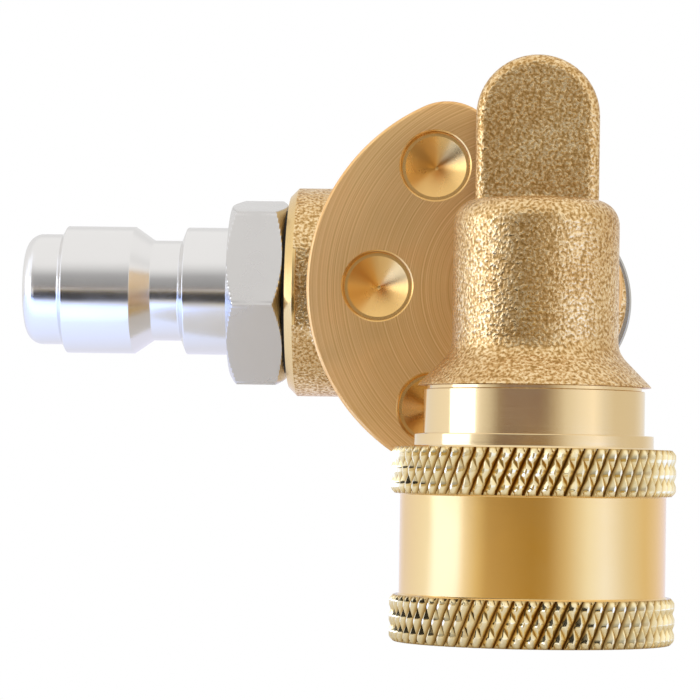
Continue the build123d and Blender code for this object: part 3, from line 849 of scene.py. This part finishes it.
def crease_along_grooves(bm, foot):
    """Cuts each quad of the band along the groove that passes it, so that the groove's line is crisp."""
    for face in [f for f in bm.faces if len(f.verts) == 4]:
        middle = face.calc_center_median() / mm
        u = math.atan2(middle.y, middle.x) / (2 * math.pi) * knurl_count
        v = (middle.z - foot) / band * knurl_rows / 2 + 0.25
        left, right = (abs((m + 0.5) % 1 - 0.5) * s for m, s in zip((u - v, u + v), groove_steepness))
        right = 0.3 + 0.7 * right
        turn = [math.atan2(c.vert.co.y * middle.x - c.vert.co.x * middle.y,
                           c.vert.co.x * middle.x + c.vert.co.y * middle.y) for c in face.loops]
        rising = [c.vert for c, t in zip(face.loops, turn) if (t > 0) == (c.vert.co.z / mm > middle.z)]
        falling = [c.vert for c in face.loops if c.vert not in rising]
        ends = rising if left < right else falling
        if len(ends) == 2:
            bmesh.utils.face_split(face, *ends)


def close_band(piece, foot, inner_r):
    """Closes a band's two open rims down to an inner wall."""
    bm = bmesh.new()
    bm.from_mesh(piece.data)
    crease_along_grooves(bm, foot)
    rim = [e for e in bm.edges if e.is_boundary]
    grown = bmesh.ops.extrude_edge_only(bm, edges=rim)["geom"]
    for vert in (g for g in grown if isinstance(g, bmesh.types.BMVert)):
        flat = Vector((vert.co.x, vert.co.y)).normalized() * inner_r * mm
        vert.co.x, vert.co.y = flat.x, flat.y
    inner = [e for e in bm.edges if e.is_boundary]
    bmesh.ops.bridge_loops(bm, edges=inner)
    bmesh.ops.recalc_face_normals(bm, faces=bm.faces)
    bm.to_mesh(piece.data)
    bm.free()
    piece.data.shade_smooth()
    piece.data.set_sharp_from_angle(angle=math.radians(22))


knurl_count, knurl_rows = 64, 3
groove_steepness = (2.4, 3.0)
knurl_group = knurl_nodes()
for name, low in (("knurl_lower", sleeve_foot), ("knurl_upper", sleeve_top - band)):
    values = {"Radius": knurl_r * mm, "Height": band * mm, "Foot": low * mm, "Material": knurled}
    knurl = by_nodes(name, knurl_group, values)
    close_band(knurl, low, 11.3)
    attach(knurl, "sleeve")
    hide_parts("lock_sleeve")
    print(name, len(knurl.data.polygons), "faces")

# %% [markdown]
# ## The plug
#
# The plug is turned from steel bar and plated with bright nickel. Its collar seals in a socket's O-ring
# and the neck behind it is where the balls grip. The hexagon is what is left of the bar: the turning tool
# has chamfered its corners, so each flat ends in a curve.

# %% Plug
plug_hex_root = boss_reach + 0.3
hex_length = 5.1
hex_flats = 16.0
hex_turn = 10.5
collar2_foot = plug_hex_root + hex_length
neck_foot = collar2_foot + 4.2 + 0.5
neck_length, taper = 2.6, 1.8
collar_foot = neck_foot + neck_length + taper
nose_foot = collar_foot + 6.4
nose_round = arc((5.13 - 1.5, plug_tip - 1.5), 1.5, 0, 90, 10)
plug_outline = [(2.6, plug_hex_root - 2.0), (5.9, plug_hex_root - 2.0), (5.9, neck_foot - 0.5), (4.65, neck_foot),
                (4.65, neck_foot + neck_length), (5.9, collar_foot), (5.9, nose_foot - 0.1), (5.13, nose_foot + 0.3)]
plug_outline += nose_round + [(2.9, plug_tip), (2.6, plug_tip - 0.3)]
quick_plug = turned("quick_plug_turned", plug_outline, along_plug, 0.14, 256)
quick_plug.data.materials.append(plated)
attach(quick_plug, "plug_half")
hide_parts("quick_plug")


def hexagon_radius(angle_deg, from_end):
    """Distance of the hexagon's skin from its axis, with the turned chamfer at both ends."""
    within = (angle_deg - 30 + 30) % 60 - 30
    flat = hex_flats / 2 / math.cos(math.radians(within))
    turned_back = hex_flats / 2 - 0.05 + from_end / math.tan(math.radians(30))
    return min(flat, turned_back)


def hexagon_mesh():
    bm = bmesh.new()
    heights = [0, 0.04, 0.1, 0.18, 0.28, 0.4, 0.52, 0.64, 0.76, hex_length / 2]
    heights += [hex_length - h for h in reversed(heights[:-1])]
    steps = 720
    rows = []
    for h in heights:
        row = []
        for i in range(steps):
            angle = 360 * i / steps
            r = hexagon_radius(angle, min(h, hex_length - h))
            a = math.radians(angle - hex_turn)
            row.append(bm.verts.new((r * math.cos(a), r * math.sin(a), plug_hex_root + h)))
        rows.append(row)
    for low, high in zip(rows, rows[1:]):
        for i in range(steps):
            k = (i + 1) % steps
            bm.faces.new((low[i], low[k], high[k], high[i]))
    for row, height in ((rows[0], plug_hex_root), (rows[-1], plug_hex_root + hex_length)):
        inner = [bm.verts.new((v.co.x * 5.6 / v.co.xy.length, v.co.y * 5.6 / v.co.xy.length, height)) for v in row]
        for i in range(steps):
            k = (i + 1) % steps
            bm.faces.new((row[i], row[k], inner[k], inner[i]))
        row[:] = inner
    for i in range(steps):
        k = (i + 1) % steps
        bm.faces.new((rows[0][i], rows[0][k], rows[-1][k], rows[-1][i]))
    return finish_mesh("quick_plug_hexagon", bm, along_plug, sharp=18)


hexagon = hexagon_mesh()
hexagon.data.materials.append(hexagon_steel)
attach(hexagon, "plug_half")
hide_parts("quick_plug")

# %% [markdown]
# ## The release cap and the parts inside
#
# The silver cap at the back is what the thumb presses. It is turned from stainless bar. The pieces inside
# keep their CAD shape, because little of them is ever seen: they only get their materials.

# %% Cap
cap_y0, cap_y1 = node_box("release_cap")[0].y, node_box("release_cap")[1].y
cap_outline = [(3.5, cap_y0 + 3.6), (7.55, cap_y0 + 3.6), (7.55, cap_y0), (9.0, cap_y0), (9.15, cap_y0 + 0.15)]
cap_outline += [(9.15, cap_y1 - 0.6)] + arc((8.55, cap_y1 - 0.6), 0.6, 0, 90, 6)[1:]
cap_outline += [(6.1, cap_y1), (6.0, cap_y1 - 0.1), (6.0, cap_y1 - 1.6), (3.5, cap_y1 - 1.6)]
release_cap = turned("release_cap_turned", cap_outline, along_pivot, 0.06, 192)
release_cap.data.materials.append(stainless)
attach(release_cap, "socket_half")
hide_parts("release_cap")

# %% CAD pieces that stay
by_material = {
    stainless: ["pivot_stem", "detent_pin", "thrust_washer"],
    ball_steel: [f"lock_ball_{i}" for i in range(1, 7)],
    spring_wire: ["release_spring", "sleeve_spring", "cap_circlip", "sleeve_stop_ring"],
    nitrile: ["stem_static_seal", "stem_front_seal", "stem_rear_seal", "socket_seal", "plug_face_seal"],
}
for material, names in by_material.items():
    for name in names:
        node = frame["nodes"][name]
        node.data.materials.clear()
        node.data.materials.append(material)
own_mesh(frame["nodes"]["sleeve_spring"])

# %% Room
def compass_colours(tree, x, y, stops):
    """Colours by compass direction in degrees: 0 is towards the camera, 90 is to the right."""
    compass = math_node(tree, "ARCTAN2", x, math_node(tree, "MULTIPLY", y, -1.0))
    compass = add(tree, "ShaderNodeMapRange", {0: compass, 1: -math.pi, 2: math.pi}).outputs[0]
    return ramp(tree, compass, [((a + 180) / 360, colour) for a, colour in stops])


def room_world():
    """The room as the metal sees it, by compass direction and by height."""
    world = bpy.data.worlds.new("room")
    world.use_nodes = True
    tree = world.node_tree
    direction = tree.nodes.new("ShaderNodeTexCoord").outputs["Generated"]
    x, y, z = add(tree, "ShaderNodeSeparateXYZ", {0: direction}).outputs
    height = add(tree, "ShaderNodeMapRange", {0: math_node(tree, "ARCSINE", z), 1: 0.0, 2: math.pi / 2}).outputs[0]
    walls = compass_colours(tree, x, y, (
        (-180, "#C6C6C6"), (-143, "#CBCBCB"), (-98, "#DADADA"), (-92, "#F2F6FF"), (-63, "#F2F6FF"), (-57, "#D2D2D2"),
        (-47, "#B8B6B2"), (-36, "#857A70"), (-28, "#7A685F"), (4, "#78665C"), (13, "#857A72"), (22, "#A49C92"),
        (33, "#C6C4C0"), (47, "#D7D7D7"), (64, "#E6E6E6"), (78, "#CBCBCB"), (92, "#C1BDB5"), (128, "#C1BDB5"),
        (148, "#CBCBCB")))
    ceiling = ramp(tree, height, [(e / 90, c) for e, c in (
        (0, "#555555"), (4, "#848484"), (24, "#989898"), (30, "#B1B1B1"), (37, "#C6C6C6"), (48, "#D8D8D8"))])
    lower = add(tree, "ShaderNodeMapRange", {0: height, 1: 0.4, 2: 0.65, 3: 1.0, 4: 0.0}).outputs[0]
    both = add(tree, "ShaderNodeMix", {0: lower, 6: ceiling, 7: walls}, data_type="RGBA", blend_type="LIGHTEN")
    path = tree.nodes.new("ShaderNodeLightPath")
    seen = add(tree, "ShaderNodeMix", {0: path.outputs["Is Camera Ray"], 6: both.outputs[2], 7: linear("#FFFFFF")},
               data_type="RGBA")
    strength = add(tree, "ShaderNodeMapRange", {0: path.outputs["Is Camera Ray"], 3: room_strength, 4: 1.0})
    background = tree.nodes["Background"]
    tree.links.new(seen.outputs[2], background.inputs[0])
    tree.links.new(strength.outputs[0], background.inputs[1])
    return world


room_strength = 1.5
bpy.context.scene.world = room_world()

# %% [markdown]
# A ring of low cards stands round the table. The sleeve looks a little down, so it sees this ring and not
# the room: a cool white window at the left, warm wood in front, and pale cards at the right and behind.

# %% Low cards round the table
def only_reflected(piece):
    """It shows in reflections, casts no shadow, lights nothing and stays out of the picture."""
    piece.visible_camera = False
    piece.visible_shadow = False
    piece.visible_diffuse = False


def strip(name, start, end, low, high, material, radius=250.0, steps=72):
    """A standing strip of card round the coupler, between two compass directions and two heights."""
    mesh = bpy.data.meshes.new(name)
    directions = [math.radians(start + (end - start) * i / steps) for i in range(steps + 1)]
    points = [(radius * mm * math.sin(a), -radius * mm * math.cos(a), z * mm) for a in directions for z in (low, high)]
    mesh.from_pydata(points, [], [(2 * i, 2 * i + 2, 2 * i + 3, 2 * i + 1) for i in range(steps)])
    mesh.materials.append(material)
    made = bpy.data.objects.new(name, mesh)
    bpy.context.scene.collection.objects.link(made)
    only_reflected(made)
    return made


def low_card_material():
    material = glowing("low_cards", "#FFFFFF", 3.0)
    tree = material.node_tree
    where = tree.nodes.new("ShaderNodeTexCoord").outputs["Object"]
    x, y, z = add(tree, "ShaderNodeSeparateXYZ", {0: where}).outputs
    colours = compass_colours(tree, x, y, (
        (-180, "#9998A4"), (-143, "#94959E"), (-99, "#9FAAC6"), (-90, "#B0C6FF"), (-66, "#B0C6FF"),
        (-59, "#9DA2B5"), (-47, "#908B7C"), (-38, "#7D7159"), (0, "#6D5C33"), (12, "#71623F"), (29,
        "#8A8781"), (47, "#9EAAC7"), (63, "#A2B3E5"), (85, "#9399AA"), (110, "#8F8B81"), (143,
        "#9796A2")))
    tree.links.new(colours, tree.nodes["Emission"].inputs[0])
    return material


low_cards = strip("low_cards", -180, 180, 0, 16, low_card_material(), steps=180)
window = strip("window", -96, -62, 16, 90, glowing("cool_window", "#E8F0FF", 3.2))


def mat(name, inner, outer, height, material, steps=180):
    """A flat ring laid on the table."""
    mesh = bpy.data.meshes.new(name)
    points = []
    for i in range(steps):
        a = 2 * math.pi * i / steps
        points += [(r * mm * math.cos(a), r * mm * math.sin(a), height * mm) for r in (inner, outer)]
    faces = [(2 * i, 2 * i + 1, (2 * i + 3) % (2 * steps), (2 * i + 2) % (2 * steps)) for i in range(steps)]
    mesh.from_pydata(points, [], faces)
    mesh.materials.append(material)
    made = bpy.data.objects.new(name, mesh)
    bpy.context.scene.collection.objects.link(made)
    only_reflected(made)
    return made


table_mat = mat("table_mat", 40, 250, 0.3, low_cards.data.materials[0])

# %% Black flag beside the sleeve
black = plain("black_flag", "#343230")
flag = panel("flag_under_plug", (-49, -69, 16.2), (36, 0, 0), (0, 61, 0), black)
only_reflected(flag)
